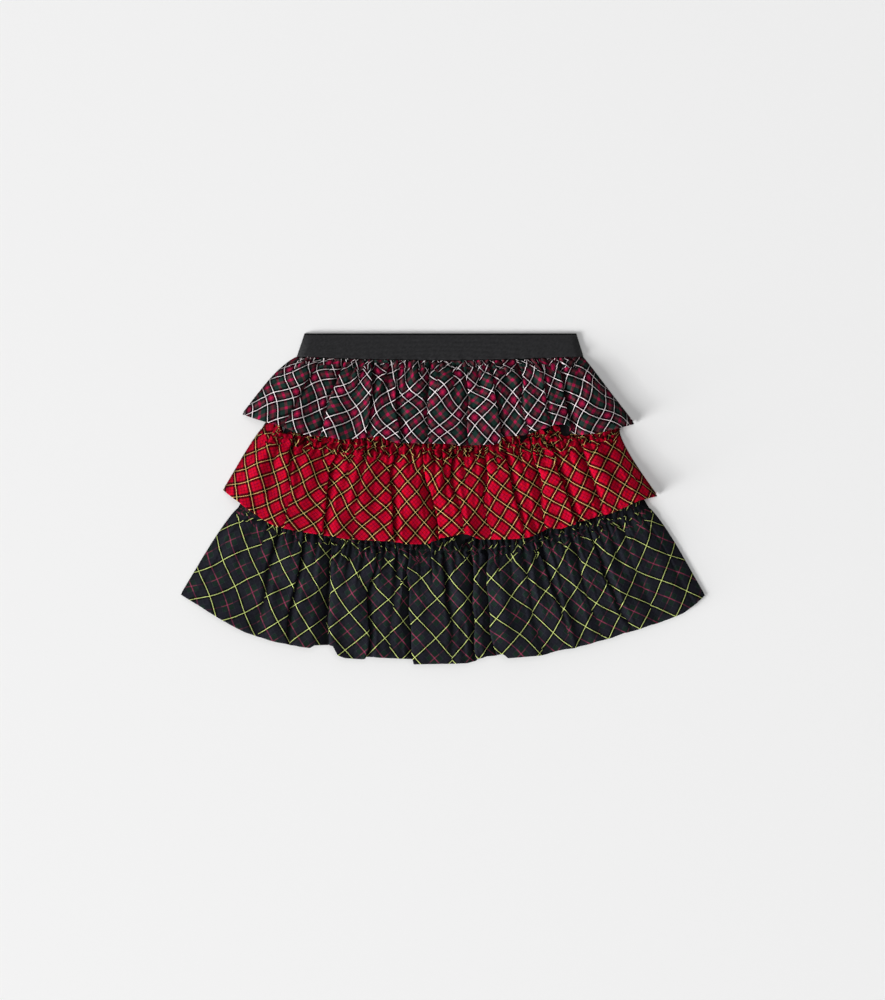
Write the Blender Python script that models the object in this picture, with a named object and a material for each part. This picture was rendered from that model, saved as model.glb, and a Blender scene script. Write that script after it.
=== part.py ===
"""A girl's tiered ruffle skirt, laid flat on its back.

Three gathered ruffles hang one above the other from an elastic waistband and a plain underskirt.
The top ruffle is sewn to the band's lower edge. The other two are stitched to the underskirt a
little below their own top edge, so that each has a small frilled heading above its stitch line.
Every loop of cloth is a front and a back panel that meet at the side seams. Lying down, each back
panel rests flat, and each front panel lies over what is beneath it, puffs up between its folds and
drops along its two side edges to meet its back panel.

All sizes are in millimetres. +X runs along the waistband, +Y from the hem to the waist, +Z up.
"""

import math
from collections import namedtuple

import bmesh
import bpy
import numpy as np

MM = 0.001  # Blender's unit is the metre

# ---------------------------------------------------------------- driving sizes

SMOOTH_BELOW = 50.0  # degrees between faces that are shaded as one curve
SEAM_GAP = 0.3  # between pieces that are sewn together or lie on each other
RUFFLE_WALL = 1.6  # height of a ruffle's wall, measured straight up
LINING_WALL = 1.0
ELASTIC_WALL = 2.0

BAND_TOP_Y = 165.5
BAND_BOTTOM_Y = 142.5  # at the band's two ends
BAND_BOTTOM_SAG = 4.0  # the lower edge hangs lower in the middle
BAND_TOP_LEFT, BAND_TOP_RIGHT = -138.2, 133.4
BAND_BOTTOM_LEFT, BAND_BOTTOM_RIGHT = -145.7, 140.4
BAND_BACK_RISE = 1.0  # the back of the band stands this much above the front
BAND_CENTRE = (BAND_BOTTOM_LEFT + BAND_BOTTOM_RIGHT) / 2
BAND_END_ROUND = 0.06  # share of the half width over which the front drops to the back
BAND_FRONT_TOP_Z = ELASTIC_WALL + SEAM_GAP  # underside of the band's front along its top edge
BAND_FRONT_BOTTOM_Z = 5.4  # and along its lower edge, lifted by the gathers sewn to it
BAND_COLUMNS, BAND_FRONT_ROWS = 32, (0.0, 0.33, 0.67, 1.0)

LINING_HALF_TOP, LINING_HALF_BOTTOM = 130.0, 188.0
LINING_TUCK = 2.5  # the underskirt reaches this far up behind the band
LINING_BELOW_STITCH = 2.5  # and this far past the lowest ruffle's stitch line
LINING_FRONT_RISE = LINING_WALL + SEAM_GAP
# Underside of its back: it clears the band, then lies on the headings of the back ruffles.
LINING_BACK_UNDERSIDE = ((0.0, 2.3), (0.2, 3.8))
LINING_COLUMNS, LINING_ROWS = 16, (0.0, 0.2, 0.6, 1.0)

EDGE_DROP = 0.075  # share of the half width over which a front panel drops to its side seam

# ---------------------------------------------------------------- the three ruffles

# Ends of the stitch line and of the hem as (x, y), and the y of their middles. hem_power says
# how late the hem's arc turns up towards its left and right corners, bulge how far the side edges
# stand out past a straight line, and gathers how many small ones the stitching holds.
Ruffle = namedtuple(
    "Ruffle",
    "name stitch_left stitch_right stitch_middle_y corner_left corner_right hem_middle_y"
    " hem_power_left hem_power_right bulge_left bulge_right heading gathers",
)
RUFFLES = (
    Ruffle("tier_1", (-145.7, 142.2), (140.4, 142.2), 138.2,
           (-200.4, 84.7), (191.6, 75.1), 56.0, 2.9, 1.4, 6.5, 0.5, 0.0, 30),
    Ruffle("tier_2", (-181.0, 70.5), (177.5, 70.0), 49.5,
           (-219.7, 8.9), (214.5, 2.9), -42.2, 4.0, 2.0, 1.8, -4.5, 11.0, 34),
    Ruffle("tier_3", (-205.0, -9.0), (206.0, -8.5), -51.5,
           (-262.0, -95.5), (262.0, -96.3), -160.5, 2.8, 2.6, 3.3, 3.8, 11.0, 36),
)
COLUMNS_PER_GATHER = 4
BACK_COLUMNS = 40

# How far each hem stands above its smooth arc, as (x, rise) rows: folds draw it up, the cloth
# between them lets it down, and it steps where one fold's edge lies on the next.
HEM_RISES = {
    "tier_1": ((-200, 0), (-164, 1.8), (-149, -0.9), (-132, -1.3), (-118, 1.0), (-101, -0.5),
               (-82, 3.0), (-63, 6.0), (-49, 0), (4, -0.8), (19, -3.5), (52, -4.8), (62, 2.6),
               (84, 1.7), (96, 5.5), (111, 9.4), (123, 8.2), (134, -3.7), (151, -4.4), (176, -2),
               (192, 0)),
    "tier_2": ((-220, 0), (-205, 1.0), (-187, 0), (-168, -3.0), (-149, 0.3), (-130, 1.5),
               (-53, -0.3), (-38, -3.0), (-15, -3.0), (0, 2.8), (17, 7.1), (27, 4.8), (38, 0.2),
               (73, -3.1), (92, -3.0), (107, 1.7), (119, -1.8), (136, 1.6), (168, -0.4),
               (197, 2.8), (215, 0)),
    "tier_3": ((-262, 0), (-244, 0.5), (-197, -2.7), (-153, -0.5), (-132, 1.8), (-127, 5.4),
               (-114, 8.5), (-107, 7.9), (-103, -1.0), (-98, -2.8), (-82, -2.4), (-78, 0.4),
               (-31, 0.3), (-25, -5.0), (27, -3.9), (44, 1.9), (61, 3.8), (65, -0.6), (100, -0.7),
               (119, 1.9), (172, 0), (180, 2.3), (199, -0.4), (241, -5.3), (253, -3.3), (262, 0)),
}
BACK_HEM_SHORTER = 2.5  # the back hem lies this far inside the front hem

# Where a heading has tumbled over and the underskirt shows above it: (x, half width, share of
# the heading's height).
HEADING_DIPS = {
    "tier_1": (),
    "tier_2": ((-159.0, 16.0, 0.7), (125.0, 11.0, 0.8)),
    "tier_3": ((22.0, 14.0, 0.3),),
}
HEADING_SLANT = 0.7  # sideways for each millimetre up, at the side seams

# Share of the drop at each row of points, from the top edge down. A negative share is in the
# heading, above the stitch line.
ROWS_WITH_HEADING = (-1.0, 0.0, 0.09, 0.25, 0.5, 0.75, 1.0)
ROWS_AT_BAND = (0.0, 0.08, 0.25, 0.5, 0.75, 1.0)
BACK_ROWS_WITH_HEADING = (-1.0, 0.0, 0.09, 0.18, 0.55, 1.0)
BACK_ROWS_AT_BAND = (0.0, 0.5, 1.0)

# Height of a panel's underside at each share of its drop, as (share, height) rows.
BACK_UNDERSIDE = {
    "tier_1": ((0.0, 0.0), (1.0, 0.0)),
    "tier_2": ((0.09, 1.9), (0.18, 0.0)),
    "tier_3": ((0.09, 1.9), (0.18, 0.0)),
}
FRONT_UNDERSIDE = {
    "tier_1": ((0.0, 5.2), (0.3, 7.4), (0.7, 10.4), (1.0, 10.4)),
    "tier_2": ((0.0, 6.4), (0.3, 7.6), (0.8, 10.4), (1.0, 10.4)),
    "tier_3": ((0.05, 6.4), (0.35, 2.8), (0.55, 1.9), (1.0, 1.9)),
}
PUFF = {
    "tier_1": ((0.0, 0.0), (0.2, 3.2), (0.6, 4.6), (1.0, 5.2)),
    "tier_2": ((0.03, 0.0), (0.2, 4.6), (0.6, 5.4), (1.0, 5.4)),
    "tier_3": ((0.03, 0.0), (0.2, 5.2), (0.6, 6.6), (1.0, 6.6)),
}
GATHER_HEIGHT = ((-1.0, 2.0), (0.0, 0.9), (0.09, 2.2), (0.25, 1.6), (0.5, 0.5), (0.75, 0.0))
SIDE_CALM = 0.16  # share of the half width, next to each corner, where the cloth lies calmer
SIDE_PUFF = 0.45  # share of the puff that is left there
GATHER_UNEVEN = 0.25  # share by which the gathers differ in height

# One row for each main fold of a front panel: where it starts on the stitch line and ends on the
# hem, its half width at the hem, and how deep it is near the top, half way down and at the hem.
Fold = namedtuple("Fold", "stitch_x hem_x half_width top middle hem")
FOLDS = {
    "tier_1": (
        Fold(-120.0, -158.0, 11.0, 1.0, 2.6, 4.0),
        Fold(-97.0, -122.0, 10.0, 2.0, 2.6, 2.6),
        Fold(-70.0, -82.0, 10.0, 2.6, 4.4, 3.4),
        Fold(-38.0, -47.0, 11.0, 3.0, 5.0, 5.4),
        Fold(-12.0, -14.0, 9.0, 2.6, 2.4, 2.4),
        Fold(20.0, 23.0, 9.0, 3.2, 5.2, 5.4),
        Fold(45.0, 60.0, 10.0, 2.6, 3.4, 5.2),
        Fold(76.0, 92.0, 13.0, 2.6, 3.0, 3.6),
        Fold(96.0, 119.0, 12.0, 2.2, 4.8, 5.4),
        Fold(118.0, 150.0, 10.0, 2.0, 2.0, 1.6),
    ),
    "tier_2": (
        Fold(-146.0, -158.0, 10.0, 2.6, 3.6, 2.6),
        Fold(-99.0, -120.0, 12.0, 3.0, 5.2, 4.8),
        Fold(-72.0, -84.0, 10.0, 3.0, 2.8, 2.4),
        Fold(-45.0, -49.0, 9.0, 3.2, 5.0, 3.6),
        Fold(-18.0, -8.0, 9.0, 3.4, 4.8, 4.4),
        Fold(8.0, 19.0, 15.0, 2.4, 3.6, 5.4),
        Fold(34.0, 47.0, 9.0, 3.2, 3.4, 2.4),
        Fold(66.0, 82.0, 11.0, 3.4, 4.6, 3.4),
        Fold(92.0, 108.0, 10.0, 2.8, 3.2, 4.2),
        Fold(112.0, 138.0, 11.0, 3.0, 5.0, 4.4),
        Fold(146.0, 176.0, 11.0, 2.4, 3.6, 2.6),
    ),
    "tier_3": (
        Fold(-160.0, -186.0, 12.0, 2.4, 1.6, 1.2),
        Fold(-138.0, -155.0, 11.0, 3.2, 4.4, 1.8),
        Fold(-112.0, -117.0, 14.0, 3.6, 6.0, 6.4),
        Fold(-64.0, -79.0, 9.0, 3.6, 4.6, 3.8),
        Fold(-46.0, -54.0, 9.0, 2.6, 1.2, 1.0),
        Fold(-34.0, -29.0, 9.0, 4.4, 6.4, 4.4),
        Fold(-6.0, -3.0, 10.0, 3.6, 4.0, 2.6),
        Fold(28.0, 34.0, 9.0, 4.4, 3.2, 1.6),
        Fold(45.0, 58.0, 10.0, 4.4, 6.2, 4.6),
        Fold(72.0, 88.0, 10.0, 3.4, 2.4, 2.0),
        Fold(98.0, 126.0, 11.0, 4.6, 5.2, 3.2),
        Fold(124.0, 154.0, 10.0, 3.4, 2.2, 2.0),
        Fold(146.0, 181.0, 11.0, 3.6, 4.6, 4.4),
        Fold(170.0, 212.0, 11.0, 2.6, 3.4, 1.8),
    ),
}
FOLD_WIDTH_AT_STITCH = 0.7  # of the half width at the hem

# ---------------------------------------------------------------- colours

FINISHES = {
    "elastic": ((0.024, 0.024, 0.025, 1.0), 0.75),
    "lining": ((0.010, 0.010, 0.012, 1.0), 0.85),
    "tier_1": ((0.060, 0.045, 0.055, 1.0), 0.85),
    "tier_2": ((0.400, 0.010, 0.020, 1.0), 0.85),
    "tier_3": ((0.014, 0.015, 0.022, 1.0), 0.85),
}


def material(name):
    colour, roughness = FINISHES[name]
    made = bpy.data.materials.new(name)
    made.use_nodes = True
    shader = made.node_tree.nodes["Principled BSDF"]
    shader.inputs["Base Color"].default_value = colour
    shader.inputs["Roughness"].default_value = roughness
    shader.inputs["Metallic"].default_value = 0.0
    made.diffuse_color = colour
    return made


# ---------------------------------------------------------------- shape functions


def mix(a, b, share):
    return a + (b - a) * share


def along(rows, at):
    """The second column of a table at a value of its first column, straight between rows."""
    return float(np.interp(at, [row[0] for row in rows], [row[1] for row in rows]))


def hump(distance):
    """1 at the middle, falling smoothly to 0 one unit away."""
    return math.cos(math.pi / 2 * distance) ** 2 if abs(distance) < 1 else 0.0


def stitch_point(ruffle, across):
    """A point of the stitch line. across runs from -1 at the left side seam to 1 at the right."""
    left, right = ruffle.stitch_left, ruffle.stitch_right
    end_y = left[1] if across < 0 else right[1]
    x = mix(left[0], right[0], (across + 1) / 2)
    return x, mix(ruffle.stitch_middle_y, end_y, across**2)


def hem_point(ruffle, across):
    """A point of the hem: its arc, and what it rises above that."""
    left, right = ruffle.corner_left, ruffle.corner_right
    corner_y, power = (
        (left[1], ruffle.hem_power_left) if across < 0 else (right[1], ruffle.hem_power_right)
    )
    x = mix(left[0], right[0], (across + 1) / 2)
    arc_y = mix(ruffle.hem_middle_y, corner_y, abs(across) ** power)
    return x, arc_y + along(HEM_RISES[ruffle.name], x)


def fold_reach(fold, across_x, down):
    """How much of a fold is felt at a point, from 0 to 1."""
    middle = mix(fold.stitch_x, fold.hem_x, down)
    half_width = fold.half_width * mix(FOLD_WIDTH_AT_STITCH, 1.0, down)
    return hump((across_x - middle) / half_width)


def heading_height(ruffle, x):
    dips = sum(share * hump((x - at) / half) for at, half, share in HEADING_DIPS[ruffle.name])
    return ruffle.heading * (1 - dips)


def ruffle_plan(ruffle, across, down):
    """The (x, y) of a ruffle's point. down is 0 on the stitch line, 1 at the hem, and -1 at the
    top of the heading."""
    (top_x, top_y), (hem_x, hem_y) = stitch_point(ruffle, across), hem_point(ruffle, across)
    if down < 0:
        up = -down * heading_height(ruffle, top_x)
        return top_x - HEADING_SLANT * up * across**5, top_y + up
    bulge = -ruffle.bulge_left if across < 0 else ruffle.bulge_right
    x = mix(top_x, hem_x, down) + bulge * math.sin(math.pi * down**0.6) * across**4
    return x, mix(top_y, hem_y, down)


def fold_depth(fold, down):
    rows = ((0.0, 0.0), (0.15, fold.top), (0.5, fold.middle), (1.0, fold.hem))
    return along(rows, down)


def back_underside(ruffle, down):
    return along(BACK_UNDERSIDE[ruffle.name], down)


def gather_wave(ruffle, across, down):
    """The small gathers held by the stitching, which fade out down the ruffle."""
    turns = ruffle.gathers * (across + 1) / 2
    uneven = 1 + GATHER_UNEVEN * (math.sin(1.9 * math.floor(turns) + ruffle.gathers) - 1)
    return along(GATHER_HEIGHT, down) * uneven * (1 + math.sin(2 * math.pi * turns)) / 2


def front_height(ruffle, across, down):
    """The height of a front panel's underside."""
    x, _ = ruffle_plan(ruffle, across, down)
    calm = min(1.0, (1 - abs(across)) / SIDE_CALM)
    puff = along(PUFF[ruffle.name], down) * mix(SIDE_PUFF, 1.0, calm)
    for fold in FOLDS[ruffle.name]:
        puff -= fold_depth(fold, down) * fold_reach(fold, x, down)
    middle = along(FRONT_UNDERSIDE[ruffle.name], down) + max(0.0, puff)
    middle += gather_wave(ruffle, across, down)
    seam = back_underside(ruffle, down) + RUFFLE_WALL + SEAM_GAP
    rise = math.sin(math.pi / 2 * min(1.0, (1 - abs(across)) / EDGE_DROP))
    return mix(seam, middle, rise)


# ---------------------------------------------------------------- building cloth


def cloth(name, finish, columns, rows, wall, place):
    """One panel: a flat grid whose points are placed on the underside, thickened straight up.

    place(across, down) gives the underside's (x, y, z). across runs from -1 to 1, and down takes
    the values in rows, from the top edge to the bottom edge."""
    shape = bmesh.new()
    bmesh.ops.create_grid(shape, x_segments=columns, y_segments=len(rows) - 1, size=1.0)
    for vertex in shape.verts:
        row = round((1 - vertex.co.y) / 2 * (len(rows) - 1))
        vertex.co = [MM * value for value in place(vertex.co.x, rows[row])]
    extruded = bmesh.ops.extrude_face_region(shape, geom=shape.faces[:])
    top = [item for item in extruded["geom"] if isinstance(item, bmesh.types.BMVert)]
    bmesh.ops.translate(shape, verts=top, vec=(0.0, 0.0, MM * wall))
    bmesh.ops.recalc_face_normals(shape, faces=shape.faces[:])
    mesh = bpy.data.meshes.new(name)
    shape.to_mesh(mesh)
    shape.free()
    mesh.shade_smooth()
    mesh.set_sharp_from_angle(angle=math.radians(SMOOTH_BELOW))
    mesh.materials.append(finish)
    return bpy.data.objects.new(name, mesh)


def ruffle_front(ruffle, finish):
    def place(across, down):
        x, y = ruffle_plan(ruffle, across, down)
        return x, y, front_height(ruffle, across, down)

    rows = ROWS_WITH_HEADING if ruffle.heading else ROWS_AT_BAND
    columns = ruffle.gathers * COLUMNS_PER_GATHER
    return cloth(ruffle.name + "_front", finish, columns, rows, RUFFLE_WALL, place)


def ruffle_back(ruffle, finish):
    def place(across, down):
        x, y = ruffle_plan(ruffle, across, down)
        return x, y + BACK_HEM_SHORTER * max(0.0, down), back_underside(ruffle, down)

    rows = BACK_ROWS_WITH_HEADING if ruffle.heading else BACK_ROWS_AT_BAND
    return cloth(ruffle.name + "_back", finish, BACK_COLUMNS, rows, RUFFLE_WALL, place)


def underskirt(name, finish, rise):
    """The plain underskirt's front or back, from behind the band to the lowest stitch line."""
    lowest = RUFFLES[-1]

    def place(across, share):
        top_y = BAND_BOTTOM_Y - BAND_BOTTOM_SAG * (1 - across**2) + LINING_TUCK
        bottom_across = across * LINING_HALF_BOTTOM / lowest.stitch_right[0]
        bottom_x, bottom_y = stitch_point(lowest, bottom_across)
        x = mix(BAND_CENTRE + across * LINING_HALF_TOP, bottom_x, share)
        y = mix(top_y, bottom_y - LINING_BELOW_STITCH, share)
        return x, y, along(LINING_BACK_UNDERSIDE, share) + rise

    return cloth(name, finish, LINING_COLUMNS, LINING_ROWS, LINING_WALL, place)


def band_plan(across, share, top_y):
    left = mix(BAND_TOP_LEFT, BAND_BOTTOM_LEFT, share)
    right = mix(BAND_TOP_RIGHT, BAND_BOTTOM_RIGHT, share)
    bottom_y = BAND_BOTTOM_Y - BAND_BOTTOM_SAG * (1 - across**2)
    return mix(left, right, (across + 1) / 2), mix(top_y, bottom_y, share)


def waistband_front(finish):
    def place(across, row_share):
        x, y = band_plan(across, row_share, BAND_TOP_Y - BAND_BACK_RISE)
        middle = mix(BAND_FRONT_TOP_Z, BAND_FRONT_BOTTOM_Z, row_share)
        rise = math.sin(math.pi / 2 * min(1.0, (1 - abs(across)) / BAND_END_ROUND))
        return x, y, mix(BAND_FRONT_TOP_Z, middle, rise)

    return cloth("waistband_front", finish, BAND_COLUMNS, BAND_FRONT_ROWS, ELASTIC_WALL, place)


def waistband_back(finish):
    def place(across, row_share):
        x, y = band_plan(across, row_share, BAND_TOP_Y)
        return x, y, 0.0

    return cloth("waistband_back", finish, BAND_COLUMNS, (0.0, 1.0), ELASTIC_WALL, place)


def main():
    for old in list(bpy.data.objects):
        bpy.data.objects.remove(old)
    skirt = bpy.data.collections.new("tiered_ruffle_skirt")
    bpy.context.scene.collection.children.link(skirt)
    finishes = {name: material(name) for name in FINISHES}
    panels = [
        waistband_front(finishes["elastic"]),
        waistband_back(finishes["elastic"]),
        underskirt("underskirt_front", finishes["lining"], LINING_FRONT_RISE),
        underskirt("underskirt_back", finishes["lining"], 0.0),
    ]
    for ruffle in RUFFLES:
        panels.append(ruffle_front(ruffle, finishes[ruffle.name]))
        panels.append(ruffle_back(ruffle, finishes[ruffle.name]))
    for panel in panels:
        skirt.objects.link(panel)


main()
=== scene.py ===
# %% [markdown]
# # A tiered ruffle skirt, laid flat
#
# Three gathered strips of tartan on a black underskirt, under an elastic waistband. The packed
# solids have its outline, its layers and its largest folds. Here every panel becomes a thin sheet.
# The front ones keep the length they were cut to, so that the tartan bends with the folds.

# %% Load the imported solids
import math
from collections import namedtuple

import bpy
import numpy as np
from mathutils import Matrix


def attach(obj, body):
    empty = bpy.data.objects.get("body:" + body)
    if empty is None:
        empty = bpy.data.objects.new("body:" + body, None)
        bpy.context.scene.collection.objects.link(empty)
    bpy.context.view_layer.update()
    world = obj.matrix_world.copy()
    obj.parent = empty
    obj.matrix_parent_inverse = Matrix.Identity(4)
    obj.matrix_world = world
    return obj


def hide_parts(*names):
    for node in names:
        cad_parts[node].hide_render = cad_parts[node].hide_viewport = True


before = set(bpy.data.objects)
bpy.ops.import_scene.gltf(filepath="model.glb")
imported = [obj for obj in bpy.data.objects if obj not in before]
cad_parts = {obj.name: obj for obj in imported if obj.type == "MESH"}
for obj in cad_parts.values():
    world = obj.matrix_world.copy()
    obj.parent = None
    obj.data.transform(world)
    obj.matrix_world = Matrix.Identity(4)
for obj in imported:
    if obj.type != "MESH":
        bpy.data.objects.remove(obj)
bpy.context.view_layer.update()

MM = 0.001
print("solids", sorted(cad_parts))

# %% [markdown]
# ## Where the camera stands
#
# Straight above the pale surface that the skirt lies on, as a shop shows flat clothes. A long lens
# far away keeps the ends of the hem from leaning outwards. One millimetre of cloth is one pixel of
# an 885 by 1000 picture.

# %% Camera
CAMERA_HEIGHT = 2400 * MM
FRAME_HEIGHT = 1000 * MM  # what the picture's long side shows on the floor
LOOKS_AT = (-0.3 * MM, -1.0 * MM)
SENSOR = 36.0  # mm, the width of a full-frame camera's


def put_in_scene(name, data):
    made = bpy.data.objects.new(name, data)
    bpy.context.scene.collection.objects.link(made)
    return made


camera = put_in_scene("camera", bpy.data.cameras.new("camera"))
camera.location = (*LOOKS_AT, CAMERA_HEIGHT)
camera.data.sensor_width = SENSOR
camera.data.lens = SENSOR * CAMERA_HEIGHT / FRAME_HEIGHT
bpy.context.scene.camera = camera
print("lens", camera.data.lens, "mm")

# %% [markdown]
# ## Colours and nodes
#
# A hex colour is written as a screen shows it, and Blender reckons with light, so one function
# turns the first into the second. Finishes could be joined up in the shader editor. Here one small
# function adds a node with its settings and links, so that a material reads like a recipe.

# %% Helpers for materials
def linear(hex_colour):
    """sRGB hex to the linear red, green, blue and alpha that Blender's sockets take."""
    parts = [int(hex_colour[i:i + 2], 16) / 255 for i in (1, 3, 5)]
    return [c / 12.92 if c <= 0.04045 else ((c + 0.055) / 1.055) ** 2.4 for c in parts] + [1.0]


def put(tree, kind, inputs=None, **settings):
    """Adds a node. An input gets a plain value, another node's output or, where a node is given,
    its first output. settings are the node's own values or, with any other name, more inputs."""
    node = tree.nodes.new("ShaderNode" + kind)
    inputs = dict(inputs or {})
    for key, value in settings.items():
        if hasattr(node, key):
            setattr(node, key, value)
        else:
            inputs[key.replace("_", " ")] = value
    for key, value in inputs.items():
        if isinstance(value, bpy.types.Node):
            value = value.outputs[0]
        if isinstance(value, bpy.types.NodeSocket):
            tree.links.new(value, node.inputs[key])
        else:
            node.inputs[key].default_value = value
    return node


def new_material(name):
    made = bpy.data.materials.new(name)
    made.use_nodes = True
    made.node_tree.nodes.clear()
    return made, made.node_tree


def finish_material(tree, **shader_inputs):
    shader = put(tree, "BsdfPrincipled", **shader_inputs)
    put(tree, "OutputMaterial", Surface=shader)


print("white yarn", [round(c, 2) for c in linear("#fff4f6")])

# %% [markdown]
# ## The surface and the light
#
# A board with rolled-on emulsion paint dries matt: it takes a soft shadow and mirrors nothing, so
# its gloss is almost off. Two large soft windows from the lower left, one high and one low, pick
# out the folds, where a single lamp would leave black valleys. A weak light overhead and an even
# room fill in. Without a film-like curve, a yarn's hex value gives that yarn's colour.

# %% Floor and lights
FLOOR_WIDTH = 40.0
FLOOR_WHITE = "#f4f4f4"
ROOM_LIGHT = 0.19
# name, place, size and strength of each soft square light; all are aimed at the skirt's middle
LIGHTS = (
    ("window", (-22.0, -13.0, 13.5), 9.5, 7600.0),
    ("low window", (-25.5, -11.0, 5.6), 10.0, 4600.0),
    ("overhead", (0.7, 0.7, 17.5), 15.0, 930.0),
)

floor_paint, tree = new_material("matt_white_board")
finish_material(tree, Base_Color=linear(FLOOR_WHITE), Roughness=0.9, Specular_IOR_Level=0.1)
bpy.ops.mesh.primitive_plane_add(size=FLOOR_WIDTH)
floor = bpy.context.object
floor.name = "floor"
floor.data.materials.append(floor_paint)

for name, place, size, power in LIGHTS:
    lamp = put_in_scene(name, bpy.data.lights.new(name, "AREA"))
    lamp.location = place
    lamp.data.size = size
    lamp.data.energy = power
    lamp.rotation_euler = (-lamp.location).to_track_quat("-Z", "Y").to_euler()

world = bpy.data.worlds.new("room")
bpy.context.scene.world = world
world.use_nodes = True
world.node_tree.nodes["Background"].inputs["Color"].default_value = linear("#ffffff")
world.node_tree.nodes["Background"].inputs["Strength"].default_value = ROOM_LIGHT
bpy.context.scene.view_settings.view_transform = "Standard"
print("lights", [row[0] for row in LIGHTS])

# %% [markdown]
# ## The shapes that the ruffles share with the solids
#
# A ruffle runs from its stitch line to its hem. Its outline could be drawn as a curve by hand, but
# these are the numbers that the solids were made from, so the two agree: millimetres, +X along the
# waistband and +Y from hem to waist. `across` is -1 at the left side seam and 1 at the right one.
# `down` is 0 on the stitch line and 1 at the hem, and from 0 to -1 is the heading, the little
# frill above the stitches.

# %% Ruffle outlines
Ruffle = namedtuple(
    "Ruffle",
    "name stitch_left stitch_right stitch_middle_y corner_left corner_right hem_middle_y"
    " hem_power_left hem_power_right bulge_left bulge_right heading",
)
RUFFLES = (
    Ruffle("tier_1", (-145.7, 142.2), (140.4, 142.2), 138.2,
           (-200.4, 84.7), (191.6, 75.1), 56.0, 2.9, 1.4, 6.5, 0.5, 0.0),
    Ruffle("tier_2", (-181.0, 70.5), (177.5, 70.0), 49.5,
           (-219.7, 8.9), (214.5, 2.9), -42.2, 4.0, 2.0, 1.8, -4.5, 11.0),
    Ruffle("tier_3", (-205.0, -9.0), (206.0, -8.5), -51.5,
           (-262.0, -95.5), (262.0, -96.3), -160.5, 2.8, 2.6, 3.3, 3.8, 11.0),
)

# How far each hem stands above its smooth arc, as (x, rise) rows.
HEM_RISES = {
    "tier_1": ((-200, 0), (-164, 1.8), (-149, -0.9), (-132, -1.3), (-118, 1.0), (-101, -0.5),
               (-82, 3.0), (-63, 6.0), (-49, 0), (4, -0.8), (19, -3.5), (52, -4.8), (62, 2.6),
               (84, 1.7), (96, 5.5), (111, 9.4), (123, 8.2), (134, -3.7), (151, -4.4), (176, -2),
               (192, 0)),
    "tier_2": ((-220, 0), (-205, 1.0), (-187, 0), (-168, -3.0), (-149, 0.3), (-130, 1.5),
               (-53, -0.3), (-38, -3.0), (-15, -3.0), (0, 2.8), (17, 7.1), (27, 4.8), (38, 0.2),
               (73, -3.1), (92, -3.0), (107, 1.7), (119, -1.8), (136, 1.6), (168, -0.4),
               (197, 2.8), (215, 0)),
    "tier_3": ((-262, 0), (-244, 0.5), (-197, -2.7), (-153, -0.5), (-132, 1.8), (-127, 5.4),
               (-114, 8.5), (-107, 7.9), (-103, -1.0), (-98, -2.8), (-82, -2.4), (-78, 0.4),
               (-31, 0.3), (-25, -5.0), (27, -3.9), (44, 1.9), (61, 3.8), (65, -0.6), (100, -0.7),
               (119, 1.9), (172, 0), (180, 2.3), (199, -0.4), (241, -5.3), (253, -3.3), (262, 0)),
}
HEADING_DIPS = {  # x, half width, share of the heading's height
    "tier_1": (),
    "tier_2": ((-158.0, 13.0, 1.0), (125.0, 11.0, 0.85)),
    "tier_3": ((22.0, 14.0, 0.3),),
}
HEADING_SLANT = 0.7
BULGE_HIGH = 0.6  # below 1, a side seam bulges most above its middle
SEAM_BULGE, SEAM_SLANT = 4, 5  # powers of across: these shapes are felt near the side seams only
print("widths at the hem", [round(r.corner_right[0] - r.corner_left[0]) for r in RUFFLES], "mm")

# %% Points of a ruffle in plan
def mix(a, b, share):
    return a + (b - a) * share


def along(rows, at):
    return np.interp(at, [row[0] for row in rows], [row[1] for row in rows])


def hump(distance):
    """1 at the middle, falling smoothly to 0 one unit away."""
    return np.where(np.abs(distance) < 1, np.cos(math.pi / 2 * np.clip(distance, -1, 1)) ** 2, 0.0)


def stitch_line(ruffle, across):
    left, right = ruffle.stitch_left, ruffle.stitch_right
    end_y = np.where(across < 0, left[1], right[1])
    return mix(left[0], right[0], (across + 1) / 2), mix(ruffle.stitch_middle_y, end_y, across**2)


def hem_line(ruffle, across):
    left, right = ruffle.corner_left, ruffle.corner_right
    corner_y = np.where(across < 0, left[1], right[1])
    power = np.where(across < 0, ruffle.hem_power_left, ruffle.hem_power_right)
    x = mix(left[0], right[0], (across + 1) / 2)
    y = mix(ruffle.hem_middle_y, corner_y, np.abs(across) ** power)
    return x, y + along(HEM_RISES[ruffle.name], x)


def heading_reach(ruffle, x, down):
    """How far the heading reaches above the stitch line at this value of down."""
    dips = sum(share * hump((x - at) / half) for at, half, share in HEADING_DIPS[ruffle.name])
    return -down * ruffle.heading * (1 - dips)


def plan(ruffle, across, down):
    """The x and y of a row of points at one value of down."""
    (top_x, top_y), (hem_x, hem_y) = stitch_line(ruffle, across), hem_line(ruffle, across)
    if down < 0:
        up = heading_reach(ruffle, top_x, down)
        return top_x - HEADING_SLANT * up * across**SEAM_SLANT, top_y + up
    bulge = np.where(across < 0, -ruffle.bulge_left, ruffle.bulge_right)
    bulge = bulge * math.sin(math.pi * down**BULGE_HIGH)
    return mix(top_x, hem_x, down) + bulge * across**SEAM_BULGE, mix(top_y, hem_y, down)


print("hem in the middle, y", [round(float(plan(r, np.zeros(1), 1.0)[1][0])) for r in RUFFLES])

# %% [markdown]
# ## The large folds
#
# The gathering thread holds many small folds that fade out further down. Where several meet, they
# run on as one large fold to the hem, and between two of those the cloth lies almost flat. A large
# fold's crest leans over the valley beside it, where the cloth lies over itself and the tartan
# breaks. A dropped cloth simulation would find folds of its own, so these are placed in a table.
# `lean` is how far one leans, in mm for each mm of height, to the right where it is above 0.

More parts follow.
